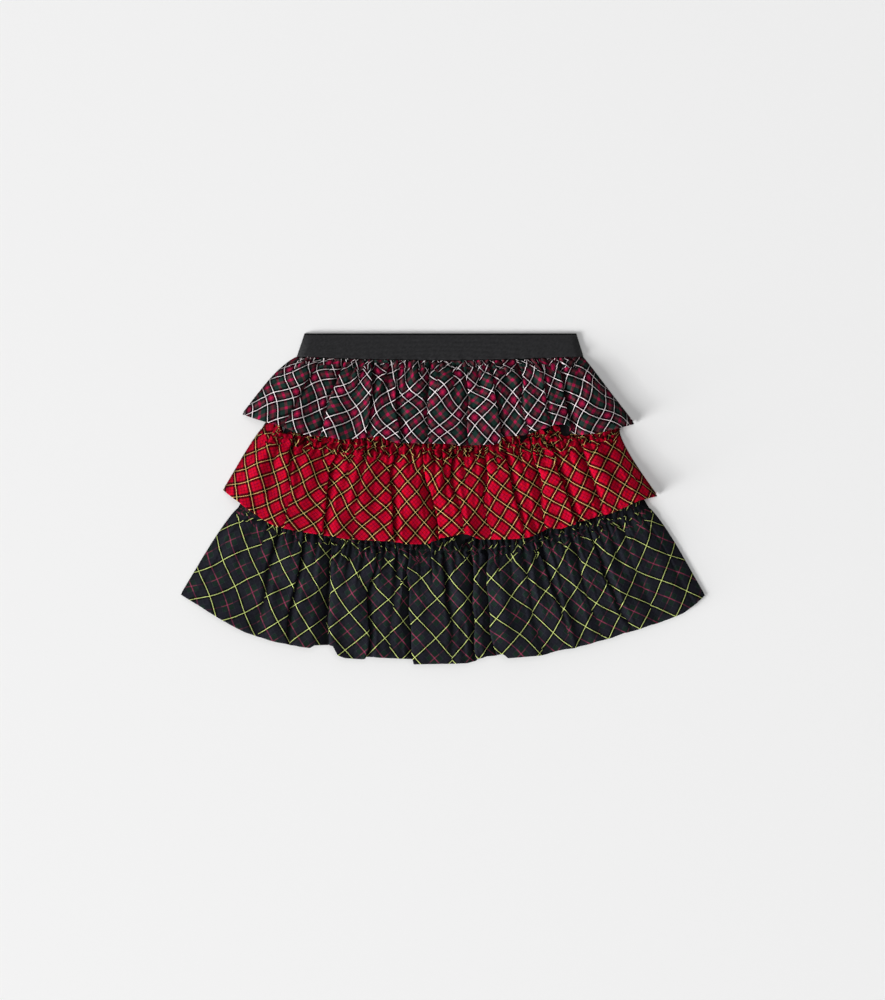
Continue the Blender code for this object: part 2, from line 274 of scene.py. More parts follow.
# %% Fold tables
# start on the stitch line, end at the hem, half width at the hem, depth near the top, half way
# down and at the hem, and lean
Fold = namedtuple("Fold", "stitch_x hem_x half_width top middle hem lean")
FOLDS = {
    "tier_1": (
        (-122, -160, 5.5, 2.4, 3.6, 4, 0.5), (-97, -124, 5, 4.1, 5.5, 4.8, -0.7),
        (-68, -75, 5, 6.3, 9, 6.5, 1), (-45, -41, 5.5, 7, 10, 9.6, 1.2),
        (-12, -14, 4.5, 4.3, 3.2, 2, -0.6), (19, 25, 5, 7.5, 10.4, 9.6, -1.2),
        (46, 60, 5, 5.3, 7.5, 5.1, 1), (72, 88, 6, 5.3, 3.4, 2.5, -0.6),
        (93, 107, 5, 4.8, 5, 3, 0.8), (115, 131, 5.5, 5.1, 9.3, 9.6, 1),
    ),
    "tier_2": (
        (-148, -162, 6, 4.6, 3.2, 2.2, 0.8), (-101, -120, 5.5, 7, 10.8, 8.9, 1.3),
        (-76, -90, 7.5, 4.6, 2.6, 1.8, -0.8), (-45, -49, 5, 7.5, 10.4, 7.2, 1.2),
        (-20, -4, 5, 7.7, 9.8, 8.4, -1.2), (10, 19, 7, 5.8, 5.8, 3.8, 0.7),
        (40, 50, 8, 4.6, 2.4, 1.8, -0.8), (63, 78, 5.5, 5, 5.4, 3.2, 1),
        (89, 104, 7, 4.6, 2.6, 2.4, -1.1), (107, 134, 5.5, 7, 10.6, 9, 1.2),
        (134, 160, 6.5, 4.4, 5, 2.8, -0.7),
    ),
    "tier_3": (
        (-160, -186, 7, 5.1, 4.5, 2.4, 0.4), (-138, -155, 5.5, 6.2, 8, 3.5, 1),
        (-112, -117, 10.5, 6.7, 11.4, 12, -0.8), (-64, -77, 5, 6.7, 10, 7.6, 1.2),
        (-46, -54, 7, 5.3, 2, 1.4, 0.5), (-34, -29, 5, 7.7, 12, 9, -1.5),
        (1, 5, 8, 6, 4.4, 2.4, 0.9), (26, 33, 5.5, 7.7, 8, 4.2, -0.9),
        (43, 52, 5, 9, 11.6, 4.4, -1.5), (80, 98, 8, 5, 2.6, 2.4, 0.8),
        (98, 124, 7, 7.4, 3.6, 1.6, 1.2), (128, 164, 9, 4.2, 2.4, 1.6, -0.8),
        (147, 186, 5.5, 5.6, 4.4, 3.6, 1.2), (176, 216, 8, 3.4, 2, 1.4, -0.8),
    ),
}
FOLDS = {name: [Fold(*row) for row in rows] for name, rows in FOLDS.items()}
print("large folds", {name: len(rows) for name, rows in FOLDS.items()})

# %% Shape of the large folds
FOLD_SHARE = {"tier_1": 0.85, "tier_2": 0.62, "tier_3": 0.66}  # of the depths in the table
FOLD_WIDTH_AT_STITCH = 0.7  # share of the width at the hem
FOLD_TOP = 0.15  # how far down a fold has its first depth, and its full lean
CREASE, CREASE_POWER = 0.5, 1.6  # from 0, a round valley, to 1, a sharp one, and how sharp that is
LEAN_WIDTH = 2.4  # the cloth beside a fold leans with it, this many half widths away
FOLD_SWAY, SECOND_SWAY = 2.6, 0.6  # mm that a fold wanders, and the share that it wanders twice
FOLD_FADE = 0.3  # share that a fold's depth varies on its way down
STITCH_CHANCE, HEM_CHANCE, FADE_TURN = 1.7, 2.3, 7.0  # a fold's own place decides how it wanders


def fold_middle(fold, down):
    """Where a large fold is. It wanders a little to either side on its way down."""
    down = max(down, 0.0)
    sway = (math.sin(fold.stitch_x * STITCH_CHANCE) * math.sin(math.pi * down)
            + SECOND_SWAY * math.sin(fold.hem_x * HEM_CHANCE) * math.sin(2 * math.pi * down))
    return mix(fold.stitch_x, fold.hem_x, down) + FOLD_SWAY * sway


def fold_depth(fold, down):
    depths = ((0.0, 0.0), (FOLD_TOP, fold.top), (0.5, fold.middle), (1.0, fold.hem))
    return along(depths, down) * (1 + FOLD_FADE * math.sin(fold.hem_x + FADE_TURN * down))


def fold_steps(ruffle, x, down):
    """How many large folds lie to the left of each x, with the shares between them."""
    left, right = (float(plan(ruffle, np.array([side]), down)[0][0]) for side in (-1.0, 1.0))
    stops = [left] + [fold_middle(fold, down) for fold in FOLDS[ruffle.name]] + [right]
    return np.interp(x, stops, np.arange(len(stops)))


def large_folds(ruffle, x, down):
    """How deep the large folds are at each x, and how far they lean."""
    depth, lean = np.zeros_like(x), np.zeros_like(x)
    for fold in FOLDS[ruffle.name]:
        half = fold.half_width * mix(FOLD_WIDTH_AT_STITCH, 1.0, max(down, 0.0))
        away = (x - fold_middle(fold, down)) / half
        sharp = np.clip(1 - np.abs(away), 0, 1) ** CREASE_POWER
        depth += FOLD_SHARE[ruffle.name] * fold_depth(fold, down) * mix(hump(away), sharp, CREASE)
        lean += fold.lean * hump(away / LEAN_WIDTH) * min(1.0, max(down, 0.0) / FOLD_TOP)
    return depth, lean


print("deepest", {name: max(fold.hem for fold in rows) for name, rows in FOLDS.items()}, "mm")

# %% [markdown]
# ## The gathers
#
# A gathering stitch is pulled up by hand, so no two of its folds are the same. Each is a rounded
# ridge with a sharp crease on either side, as thin cotton takes when it is pushed together. A sine
# wave would look like a corrugated sheet. So ridges of uneven width fan out between the large
# folds, pairs run further down than single ones, and fours make soft swells. Their sizes are dealt
# by a seeded random generator, which gives the same skirt each time.

# %% Dealing the gathers
GATHER_WIDTH, GATHER_UNEVEN = 5.6, (0.6, 1.4)  # mm on the stitch line, and how far that varies
GATHER, PAIR, FOUR = 1, 2, 4  # how many small gathers make up each size of fold
PATCHES = 9  # crumpled patches along one gather
DEALT = {  # heights in mm, reaches as the share of the way down where a fold dies out
    "heights": (2.2, 3.8), "reaches": (0.07, 0.26), "leans": (-0.9, 0.9),
    "pair_heights": (1.4, 3.8), "pair_reaches": (0.14, 0.45), "pair_leans": (-0.8, 0.8),
    "swells": (0.3, 2.6), "swell_leans": (-0.4, 0.4),
    "nods": (-1.0, 1.0),  # which way the frill falls over
}
Gathers = namedtuple("Gathers", ["edges", *DEALT, "jumps", "patches"])


def deal_gathers(ruffle, seed):
    """The small gathers of one panel. Their edges are in steps from one large fold to the next."""
    chance = np.random.RandomState(seed)
    folds = FOLDS[ruffle.name]
    starts = [ruffle.stitch_left[0]] + [fold.stitch_x for fold in folds] + [ruffle.stitch_right[0]]
    edges = []
    for step, (left, right) in enumerate(zip(starts[:-1], starts[1:])):
        count = 2 * max(1, round((right - left) / GATHER_WIDTH / 2))
        widths = chance.uniform(*GATHER_UNEVEN, count)
        edges.extend(step + np.concatenate([[0], np.cumsum(widths)[:-1]]) / widths.sum())
    edges = np.array(edges + [len(starts) - 1.0])
    count = len(edges) - 1
    dealt = [chance.uniform(*limits, count) for limits in DEALT.values()]
    return Gathers(edges, *dealt, chance.uniform(-1.0, 1.0, (count, 2)),
                   chance.uniform(-1.0, 1.0, (count, PATCHES, 2)))


print("gathers", {ruffle.name: len(deal_gathers(ruffle, 0).heights) for ruffle in RUFFLES})

# %% Shape of the gathers
FADE_POWER = 1.5  # a gather keeps its height at first and then dies out quickly
PINCH, PINCHED = 0.3, (0.03, 0.4)  # how much the thread flattens it, and how far down and up
ROUND_GATHER, ROUND_PAIR, ROUND_SWELL = 0.9, 1.0, 1.4  # below 1, a blunter ridge
PAIRS_GROW = ((0.0, 0.35), (0.1, 1.0))  # out of the gathers, as (down, share) rows
SWELLS_GROW = ((0.0, 0.0), (0.1, 0.3), (0.35, 0.9), (1.0, 0.35))


def ridge(share, roundness):
    """A ridge over 0 to 1 with a crease at either end."""
    return np.sin(math.pi * np.clip(share, 0, 1)) ** roundness


def cell_of(gathers, steps, group):
    """Which gather, pair or four of gathers each place is in, and the share across it."""
    count = len(gathers.heights)
    cell = np.clip(np.searchsorted(gathers.edges, steps, side="right") - 1, 0, count - 1)
    first = cell // group * group
    last = np.minimum(first + group, count)
    return first, (steps - gathers.edges[first]) / (gathers.edges[last] - gathers.edges[first])


def small_folds(gathers, steps, down):
    """Height and lean of the gathers at one value of down."""
    below = max(down, 0.0)
    cell, share = cell_of(gathers, steps, GATHER)
    fade = np.clip(1 - (below / gathers.reaches[cell]) ** FADE_POWER, 0, 1)
    free = min(1.0, abs(down) / PINCHED[0 if down > 0 else 1])
    height = gathers.heights[cell] * fade * (1 - PINCH + PINCH * free) * ridge(share, ROUND_GATHER)
    lean = gathers.leans[cell] * fade
    pair, share = cell_of(gathers, steps, PAIR)
    fade = along(PAIRS_GROW, below) * np.clip(
        1 - (below / gathers.pair_reaches[pair]) ** FADE_POWER, 0, 1)
    height = height + gathers.pair_heights[pair] * fade * ridge(share, ROUND_PAIR)
    lean = lean + gathers.pair_leans[pair] * fade
    four, share = cell_of(gathers, steps, FOUR)
    grown = along(SWELLS_GROW, below)
    height = height + gathers.swells[four] * grown * ridge(share, ROUND_SWELL)
    return height, lean + gathers.swell_leans[four] * grown


def waves(x, y, seed, lengths, height, turns=0.7, count=9):
    """A sum of a few waves, with lengths in mm and turned by up to so many radians."""
    chance = np.random.RandomState(seed)
    total = np.zeros_like(x)
    for _ in range(count):
        turn = chance.uniform(-turns, turns)
        length = chance.uniform(*lengths)
        start = chance.uniform(0, 2 * math.pi)
        total += np.sin((x * math.cos(turn) + y * math.sin(turn)) * 2 * math.pi / length + start)
    return total * height / math.sqrt(count)


print("a ridge at its quarters", ridge(np.array([0, 0.25, 0.5]), ROUND_GATHER).round(2))

# %% [markdown]
# ## The front panels
#
# Row by row, a ruffle puffs up between its stitches and its hem, the large folds cut into that and
# the gathers stand on it. Smoothed cotton keeps shallow and slanting wrinkles, and at the thread
# it is crumpled. The frill falls forwards or back, a little piece at a time, and near the side
# seams all lies calmer. A noise texture could displace a flat sheet, but would stretch the tartan.

# %% Values of a front panel
# Height of the lowest cloth, and how far it puffs up over that, as (down, height) rows.
FLOOR_UNDER_FRONT = {
    "tier_1": ((-1.0, 4.6), (0.0, 5.0), (0.3, 6.2), (0.7, 8.2), (0.9, 11.0), (1.0, 11.8)),
    "tier_2": ((-1.0, 6.6), (0.0, 6.4), (0.3, 5.6), (0.7, 7.6), (0.9, 10.4), (1.0, 11.2)),
    "tier_3": ((-1.0, 6.6), (0.0, 6.4), (0.35, 3.0), (0.55, 1.6), (1.0, 1.4)),
}
PUFF = {
    "tier_1": ((0.0, 0.0), (0.2, 5.4), (0.6, 7.8), (1.0, 7.0)),
    "tier_2": ((0.0, 0.0), (0.2, 6.0), (0.6, 8.4), (1.0, 7.6)),
    "tier_3": ((0.0, 0.0), (0.2, 6.6), (0.6, 8.8), (1.0, 8.6)),
}
LIFT = 2.4  # the back panels' pleats raise everything on them
SIDE_CALM = {"tier_1": 0.16, "tier_2": 0.16, "tier_3": 0.3}  # share of the width that lies flatter
SIDE_PUFF, SIDE_GATHERS = 0.5, 0.5  # shares of the puff and of the gathers at the side seams
EDGE_DROP = 0.09  # share of the width over which the cloth comes down to the side seam
SEAM_HEIGHT = 2.2  # of a front panel's two side edges, just over its back panel's
WRINKLE_HEIGHT, WRINKLES = 0.34, (12, 40)  # shallow ones, so that no stretch is quite flat
SLANT_HEIGHT, SLANTS, SLANT_TURN = 1.6, (26, 64), 1.0  # long ones, where it was smoothed out
SLANT_SEED, WRINKLES_START = 7, 5  # they are full at a fifth of the way down
# The crumpled cloth along a gathering thread: how much of it at each place down, its size, and how
# far it is pushed sideways, along and up
CRUMPLED = ((-1.0, 1.0), (-0.3, 0.8), (0.0, 0.4), (0.03, 0.8), (0.08, 0.3), (0.14, 0.0))
CRUMPLES, CRUMPLE_TURN, CRUMPLE_PUSH = (5.0, 11.0), 1.5, (0.9, 1.0, 2.0)
CRUMPLE_SHARE = {"tier_1": 0.25, "tier_2": 0.8, "tier_3": 0.6}
CRUMPLE_REACH = {"tier_1": 0.8, "tier_2": 0.9, "tier_3": 0.55}
HEADING_CLOTH = 1.45  # the frill is this much longer than it reaches, because it tumbles
TUMBLE, TUMBLE_ROUND = 34, 1.5  # degrees, and how softly it begins
FRILL_FULLER, FRILL_STANDS, FRILL_LEANS = 1.3, 0.35, 1.6
print("puffed up by", {name: max(row[1] for row in rows) for name, rows in PUFF.items()}, "mm")


# %% Rows of a front panel
def calm(ruffle, across):
    return np.minimum(1.0, (1 - np.abs(across)) / SIDE_CALM[ruffle.name])


def from_edge(across, width):
    """0 at a side seam, rising to 1 that share of the width away."""
    return np.sin(math.pi / 2 * np.minimum(1.0, (1 - np.abs(across)) / width))


def crumpled_share(ruffle, down):
    """How crumpled the cloth is at each value of down, from 0 to 1."""
    reach = np.where(np.greater(down, 0), CRUMPLE_REACH[ruffle.name], 1.0)
    return along(CRUMPLED, down / reach) * CRUMPLE_SHARE[ruffle.name]


def seen_in_place(x, y, z):
    """Draws in what stands high, so that it isn't pushed outwards in the view from above."""
    nearer = z * MM / CAMERA_HEIGHT
    return x + (LOOKS_AT[0] / MM - x) * nearer, y + (LOOKS_AT[1] / MM - y) * nearer, z


def front_row(ruffle, gathers, across, down, fullness):
    """The x, y and z of a row of points across a front panel, in millimetres, and its folds."""
    x, y = plan(ruffle, across, down)
    steps, level = fold_steps(ruffle, x, down), calm(ruffle, across)
    depth, lean = large_folds(ruffle, x, down)
    small, small_lean = small_folds(gathers, steps, down)
    small = small * fullness
    puff = along(PUFF[ruffle.name], down) * mix(SIDE_PUFF, 1.0, level) - depth
    raised = np.maximum(0.0, puff) + small * mix(SIDE_GATHERS, 1.0, level)
    seed = len(FOLDS[ruffle.name])
    shallow = waves(x, y, seed, WRINKLES, WRINKLE_HEIGHT) + WRINKLE_HEIGHT
    slants = waves(x, y, seed + SLANT_SEED, SLANTS, SLANT_HEIGHT, SLANT_TURN) + SLANT_HEIGHT
    raised += (shallow + slants * level) * min(1.0, max(down, 0) * WRINKLES_START)
    crumpled = crumpled_share(ruffle, down)
    push = [waves(x, y, seed + number, CRUMPLES, far * crumpled, CRUMPLE_TURN) * level
            for number, far in enumerate(CRUMPLE_PUSH, 1)]
    if down < 0 and ruffle.heading:
        up = heading_reach(ruffle, x, down)
        nod = sum(gathers.nods[cell] * ridge(share, TUMBLE_ROUND)
                  for cell, share in (cell_of(gathers, steps, group) for group in (GATHER, PAIR)))
        tumble = np.radians(TUMBLE + TUMBLE * nod)
        y = y + up * (HEADING_CLOTH * np.cos(tumble) - 1)
        raised = (raised * mix(1.0, FRILL_FULLER, -down)
                  + up * np.abs(np.sin(tumble)) * FRILL_STANDS)
        small_lean = small_lean * FRILL_LEANS
    rise = from_edge(across, EDGE_DROP)
    sideways = (lean * (raised - 0.5 * raised.max()) + small_lean * small) * rise
    base = along(FLOOR_UNDER_FRONT[ruffle.name], down) + LIFT
    lift = push[2] + CRUMPLE_PUSH[2] * crumpled
    return *seen_in_place(x + sideways + push[0] * rise, y + push[1] * rise,
                          mix(SEAM_HEIGHT, base + raised + lift, rise)), steps


print("crumpled at the thread", {r.name: round(float(crumpled_share(r, 0)), 2) for r in RUFFLES})

# %% [markdown]
# ## The back panels
#
# The weight of the skirt presses the back's gathers over to one side, into low pleats. They could
# be left out, but their edges show from the side, and they are what lifts the front. Pleats this
# low hold about a tenth less cloth than the strip was cut to.

# %% Height of a back panel
BACK_HEM_SHORTER, BACK_NARROWER, BACK_EDGE_RISE, BACK_ABOVE = 2.5, 1.2, 1.0, 0.5  # mm
BACK_PLEAT_HEIGHT, BACK_PLEAT_LEAN, BACK_LEAN_MORE = 3.0, 1.6, 0.4
BACK_FADE = 0.45  # the pleats run on to the hem, so they fade more slowly than the front's
UNDER_BACK = {
    "tier_1": ((0.0, 0.1), (1.0, 0.1)),
    "tier_2": ((0.09, 1.9), (0.18, 0.1)),
    "tier_3": ((0.09, 1.9), (0.18, 0.1)),
}


def back_row(ruffle, gathers, across, down, fullness):
    """The same for a back panel. Its pleats are pressed to one side, its underside is flat."""
    x, y = plan(ruffle, across, down)
    y = y + BACK_HEM_SHORTER * max(0.0, down)
    steps = fold_steps(ruffle, x, down)
    small, small_lean = small_folds(gathers, steps, BACK_FADE * down)
    rise = from_edge(across, EDGE_DROP)
    squashed = BACK_PLEAT_HEIGHT * np.tanh(small * fullness / BACK_PLEAT_HEIGHT) * rise
    lean = np.where(small_lean > 0, BACK_PLEAT_LEAN, -BACK_PLEAT_LEAN)
    sideways = (np.abs(small_lean) + BACK_LEAN_MORE) * lean * (squashed - squashed.mean()) * rise
    x = x * (1 - BACK_NARROWER / x.max()) + sideways
    low = along(UNDER_BACK[ruffle.name], down)
    return x, y, low + BACK_ABOVE + squashed + BACK_EDGE_RISE * (1 - rise), steps


print("back pleats up to", BACK_PLEAT_HEIGHT, "mm high")

# %% [markdown]
# ## From shape to cloth
#
# Cloth hardly stretches, so its true length along the ups and downs decides which bit of it lies
# where. A UV unwrap would guess that from the finished mesh. Here each row is walked from seam to
# seam, its gathers are raised or lowered, within limits, until the walk is as long as the cut
# strip, and its threads are put at even steps of it.

# %% Threads at even steps
# mm, the size that each half of a ruffle was cut to
STRIPS = {"tier_1": (430.0, 85.0), "tier_2": (498.0, 106.0), "tier_3": (575.0, 128.0)}
FINE = 1600  # samples along a row while it is measured
FULLNESS, HALVINGS = (0.3, 2.4), 8  # how far gathers may be scaled, and how often that is halved


def walked(points):
    """True distance along each row of points, from its first one."""
    steps = np.linalg.norm(np.diff(points, axis=-2), axis=-1)
    start = np.zeros(steps.shape[:-1] + (1,))
    return np.concatenate([start, np.cumsum(steps, axis=-1)], axis=-1)


def fitted_row(row_of, across, down, length):
    """The row whose gathers are just high enough, within FULLNESS, for the cloth's true length."""
    low, high = FULLNESS
    for _ in range(HALVINGS):
        middle = (low + high) / 2
        fine = np.stack(row_of(across, down, middle), axis=-1)
        low, high = (middle, high) if walked(fine[:, :3])[-1] < length else (low, middle)
    return fine


def spread_threads(row_of, downs, columns, length=None):
    """Points on a panel, with every row's threads at even steps of its own length."""
    across = np.linspace(-1, 1, FINE)
    rows = []
    for down in downs:
        if length:
            fine = fitted_row(row_of, across, down, length)
        else:
            fine = np.stack(row_of(across, down), axis=-1)
        far = walked(fine[:, :3])
        wanted = np.linspace(0, far[-1], columns)
        rows.append(np.stack([np.interp(wanted, far, column) for column in fine.T], axis=-1))
    return np.array(rows)


print("cut strips", STRIPS, "mm")

# %% [markdown]
# ### Laying the cloth flat
#
# The tartan has to lie at its true size on every facet. So each small step between two points is
# laid down by the least turn that brings the cloth's face up, and turned back by the grain, which
# leans out to either side where the top is gathered and the hem is free. The flat places are the
# ones that agree best with all these steps, a weighted Poisson problem for conjugate gradients.
# Steps on steep cloth count for little, so what cannot agree is pushed into the creases, where
# real cloth hides it too.

# %% Flat places
SOLVER_ROUNDS = 260
STEEP_SHARE, STEEP_POWER = 0.03, 4  # how much a step on upright cloth counts, and how soon
LEAST_TILT = 0.05  # keeps the turn of a face that looks down finite
GRAIN_TURNS = {  # degrees that the grain leans at each x
    "tier_1": ((-190, -30), (-130, -28), (-100, -20), (-60, -11), (-20, -7), (20, 0), (75, 12),
               (105, 20), (190, 24)),
    "tier_2": ((-220, -36), (-170, -35), (-145, -17), (-100, -13), (-80, -4), (-45, -2), (-10, 2),
               (30, 8), (60, 10), (85, 19), (130, 18), (215, 15)),
    "tier_3": ((-262, -30), (-170, -22), (-120, -12), (-60, -5), (0, 0), (60, 6), (120, 14),
               (170, 20), (262, 26)),
}


def turned_by(flat, turn):
    """Flat steps or places turned about the origin."""
    cos, sin = np.cos(turn), np.sin(turn)
    return np.stack([cos * flat[..., 0] - sin * flat[..., 1],
                     sin * flat[..., 0] + cos * flat[..., 1]], axis=-1)


def laid_down(step, normal, turn):
    """A step on the cloth, turned so that the normal points up, and then by turn."""
    lift = (step[:, :, 2] / np.maximum(LEAST_TILT, 1 + normal[:, :, 2]))[:, :, None]
    return turned_by(step[:, :, :2] - lift * normal[:, :, :2], turn)


def gathered_up(flow_across, flow_down, shape):
    """What flows into each point less what flows out."""
    total = np.zeros(shape)
    total[:, 1:] += flow_across
    total[:, :-1] -= flow_across
    total[1:] += flow_down
    total[:-1] -= flow_down
    return total


def lay_flat(ruffle, points):
    """Each point's place on the flat cloth, in millimetres."""
    across, down = np.diff(points, axis=1), np.diff(points, axis=0)
    normal = np.cross(np.gradient(points, axis=0), np.gradient(points, axis=1))
    normal /= np.linalg.norm(normal, axis=-1, keepdims=True) + 1e-9
    turn = -np.radians(along(GRAIN_TURNS[ruffle.name], points[len(points) // 2, :, 0]))
    turn = np.broadcast_to(turn, points.shape[:2])
    share = STEEP_SHARE + np.clip(normal[:, :, 2:], 0, 1) ** STEEP_POWER
    share_across = np.minimum(share[:, 1:], share[:, :-1])
    share_down = np.minimum(share[1:], share[:-1])
    middle_across = (normal[:, 1:] + normal[:, :-1]) / 2
    middle_down = (normal[1:] + normal[:-1]) / 2
    want = gathered_up(share_across * laid_down(across, middle_across, turn[:, 1:]),
                       share_down * laid_down(down, middle_down, turn[1:]),
                       points.shape[:2] + (2,))

    def spread(flat):
        return gathered_up(share_across * np.diff(flat, axis=1),
                           share_down * np.diff(flat, axis=0), flat.shape)

    flat = np.stack([walked(points), -walked(points.transpose(1, 0, 2)).T], axis=-1)
    rest = want - spread(flat)
    step = rest.copy()
    size = (rest * rest).sum()
    for _ in range(SOLVER_ROUNDS):
        spread_step = spread(step)
        far = size / (step * spread_step).sum()
        flat += far * step
        rest -= far * spread_step
        new_size = (rest * rest).sum()
        step = rest + step * (new_size / size)
        size = new_size
    return flat - flat[0, flat.shape[1] // 2]


print("grain turned at the seams", {name: (rows[0][1], rows[-1][1])
                                    for name, rows in GRAIN_TURNS.items()}, "degrees")

# %% [markdown]
# ### Hidden cloth and the bias
#
# Each crease hides more cloth than this mesh can hold, so the tartan jumps there and its lines end
# abruptly. Every face has its own corners in a UV map, so the faces on either side of a crease can
# lie on different places of the flat cloth. And cloth on the bias gives: its threads slide past
# each other, and the tartan's lines bend softly although the cloth is flat.

# %% Hidden cloth and the bias
JUMPS = {GATHER: (5.0, 2.0), PAIR: (7.0, 3.0)}  # mm across and down
PATCH, PATCH_JUMP, PATCH_TURN = 8.0, (9.0, 9.0), 0.5  # mm of depth, mm that it jumps, radians
PATCH_MORE, SIDE_PATCHES = 1.5, 0.2  # they move more than the cloth is crumpled, less at the sides
FOLD_HIDES, FOLD_SLIPS = 1.2, 0.6  # mm across and down for each mm of a large fold's depth
SLIP_CHANCE = 2.4
BIAS_GIVE = {"tier_1": (2.2, (44, 106)), "tier_2": (1.1, (40, 100)), "tier_3": (1.4, (60, 140))}
GIVE_SEED, GIVE_TURN, GIVE_WAVES = 50, 0.5, 6


def face_corners(grid):
    """The four corners of every face of a grid of points."""
    return np.stack([grid[1:, :-1], grid[1:, 1:], grid[:-1, 1:], grid[:-1, :-1]], axis=2)


def crumpled_patches(ruffle, gathers, middle, down):
    """How far each face's patch of crumpled cloth has turned and jumped."""
    cell, _ = cell_of(gathers, middle, PAIR)
    length = STRIPS[ruffle.name][1]
    depth = length * np.maximum(down, 0) - ruffle.heading * np.minimum(down, 0)
    start = 2 * gathers.nods[cell] + 2
    patch = (depth.mean(axis=2) / PATCH + start).astype(int)
    patch_depth = (patch + 0.5 - start) * PATCH / length
    signed = np.where(down.mean(axis=2) < 0, -1.0, patch_depth)
    crumpled = np.minimum(1, crumpled_share(ruffle, signed) * PATCH_MORE)
    across = np.linspace(-1, 1, crumpled.shape[1])
    crumpled = crumpled * mix(SIDE_PATCHES, 1.0, calm(ruffle, across))
    chosen = gathers.patches[cell, patch % PATCHES]
    return PATCH_TURN * chosen[:, :, 0] * crumpled, crumpled[:, :, None] * chosen * PATCH_JUMP


def hide_cloth(ruffle, gathers, places, steps, downs):
    """The places of every face's corners, after the tartan has jumped at each crease."""
    middle = face_corners(steps).mean(axis=2)
    down = face_corners(np.broadcast_to(downs[:, None], steps.shape))
    turn, jump = crumpled_patches(ruffle, gathers, middle, down)
    flat = turned_by(face_corners(places), turn[:, :, None]) + jump[:, :, None, :]
    for group, size in JUMPS.items():
        cell, _ = cell_of(gathers, middle, group)
        reach = (gathers.reaches if group == GATHER else gathers.pair_reaches)[cell][:, :, None]
        fade = np.clip(1 - np.maximum(down, 0) / reach, 0, 1)[..., None]
        flat += fade * (gathers.jumps[cell] * size)[:, :, None, :]
    for number, fold in enumerate(FOLDS[ruffle.name], 1):
        right = (middle > number)[:, :, None]
        flat[..., 0] += right * FOLD_HIDES * fold.hem
        flat[..., 1] += right * FOLD_SLIPS * fold.hem * math.sin(number * SLIP_CHANCE + fold.hem_x)
    return flat


def bias_give(ruffle, places):
    """How far the threads have slid, in mm across and down."""
    height, lengths = BIAS_GIVE[ruffle.name]
    seed = GIVE_SEED + len(FOLDS[ruffle.name])
    warp = (places[:, :, 0] + places[:, :, 1]) / math.sqrt(2)
    weft = (places[:, :, 0] - places[:, :, 1]) / math.sqrt(2)
    slid_warp = waves(weft, warp, seed, lengths, height, GIVE_TURN, GIVE_WAVES)
    slid_weft = waves(warp, weft, seed + 1, lengths, height, GIVE_TURN, GIVE_WAVES)
    return np.stack([slid_warp + slid_weft, slid_warp - slid_weft], axis=-1) / math.sqrt(2)


print("bias gives up to", {name: row[0] for name, row in BIAS_GIVE.items()}, "mm")

# %% [markdown]
# ### Lying on what is below
#
# A hem rests on the heading of the ruffle below. Blender could test the meshes for collisions,
# slowly and with jitter in cloth this thin. A map of how high everything below reaches is enough:
# where the upper cloth would be lower, it is lifted softly.

# %% Heaps
MAP_CELL, MAP_HALF = 2.0, 300.0
CLEAR, SOFT = 0.7, 0.2  # mm between the middles of two cloths that touch, and how softly they do
heap = np.zeros((int(2 * MAP_HALF / MAP_CELL),) * 2)


def map_cells(points):
    """The cell of the map that each point is over."""
    cells = ((points[:, :, :2] + MAP_HALF) / MAP_CELL).astype(int)
    return cells[:, :, 0], cells[:, :, 1]


def lie_on_heap(points):
    """Lifts points that would be below the heap, softly."""
    wide = heap.copy()
    for shift in ((0, 1), (0, -1), (1, 0), (-1, 0)):
        wide = np.maximum(wide, np.roll(heap, shift, (0, 1)))
    soft = sum(np.roll(wide, (i, j), (0, 1)) for i in (-1, 0, 1) for j in (-1, 0, 1)) / 9
    soft = np.maximum(soft, heap)
    place = (points[:, :, :2] + MAP_HALF) / MAP_CELL - 0.5
    low = np.floor(place).astype(int)
    part = place - low
    height = np.zeros(points.shape[:2])
    for i in (0, 1):
        for j in (0, 1):
            weight = np.abs(1 - i - part[:, :, 0]) * np.abs(1 - j - part[:, :, 1])
            height += weight * soft[low[:, :, 0] + i, low[:, :, 1] + j]
    short = height + CLEAR - points[:, :, 2]
    lifted = points.copy()
    lifted[:, :, 2] += np.logaddexp(0, short / SOFT) * SOFT
    return lifted


print("map of", heap.shape, "cells of", MAP_CELL, "mm")

# %% [markdown]
# ### Settling the cloth
#
# Rows that are drawn one by one still stretch and shear the cloth between them. Real cotton hardly
# stretches, which gives its folds flat facets and sharp creases. So each front panel is settled:
# again and again every point is pulled to its true distance from its neighbours, let down by a
# hair's breadth of weight and kept above what it lies on, while the stitches and seams are held.
# Blender's Cloth modifier does the same more freely, and is likely to wash out the placed folds.

# %% Values for settling
# steps down and across to the neighbour, and how much of an error one round takes back
PULLS = ((0, 1, 0.8), (1, 0, 0.8), (1, 1, 0.3), (1, -1, 0.3), (0, 2, 0.16), (2, 0, 0.16))
BEND_RUN = 2  # pulls over this many steps only push apart
STRETCH_LIMITS = (0.8, 1.25)  # how far the drawn distance may be brought to the cloth's
ROUNDS, HEAP_ROUNDS = 160, 8
WEIGHT = 0.012  # mm down in each round
# share of the way back to its drawn place that a point goes in each round
KEEP_PLACE, KEEP_HEIGHT, KEEP_HEM, KEEP_FRILL, KEEP_SIDE = 0.012, 0.004, 0.25, 0.03, 0.2
HEM_ROWS, HELD_SIDE, HELD_TOP = 6, 0.05, 0.012  # rows, share of the width, share of the way down
print("pulls", len(PULLS), "rounds", ROUNDS)


# %% Settling a panel
def neighbours(grid, down, right):
    """Slices of a grid: its points, and their neighbours that many steps down and to the right."""
    rows, columns = grid.shape[:2]
    return (np.s_[:rows - down, max(0, -right):columns - max(0, right)],
            np.s_[down:, max(0, right):columns + min(0, right)])


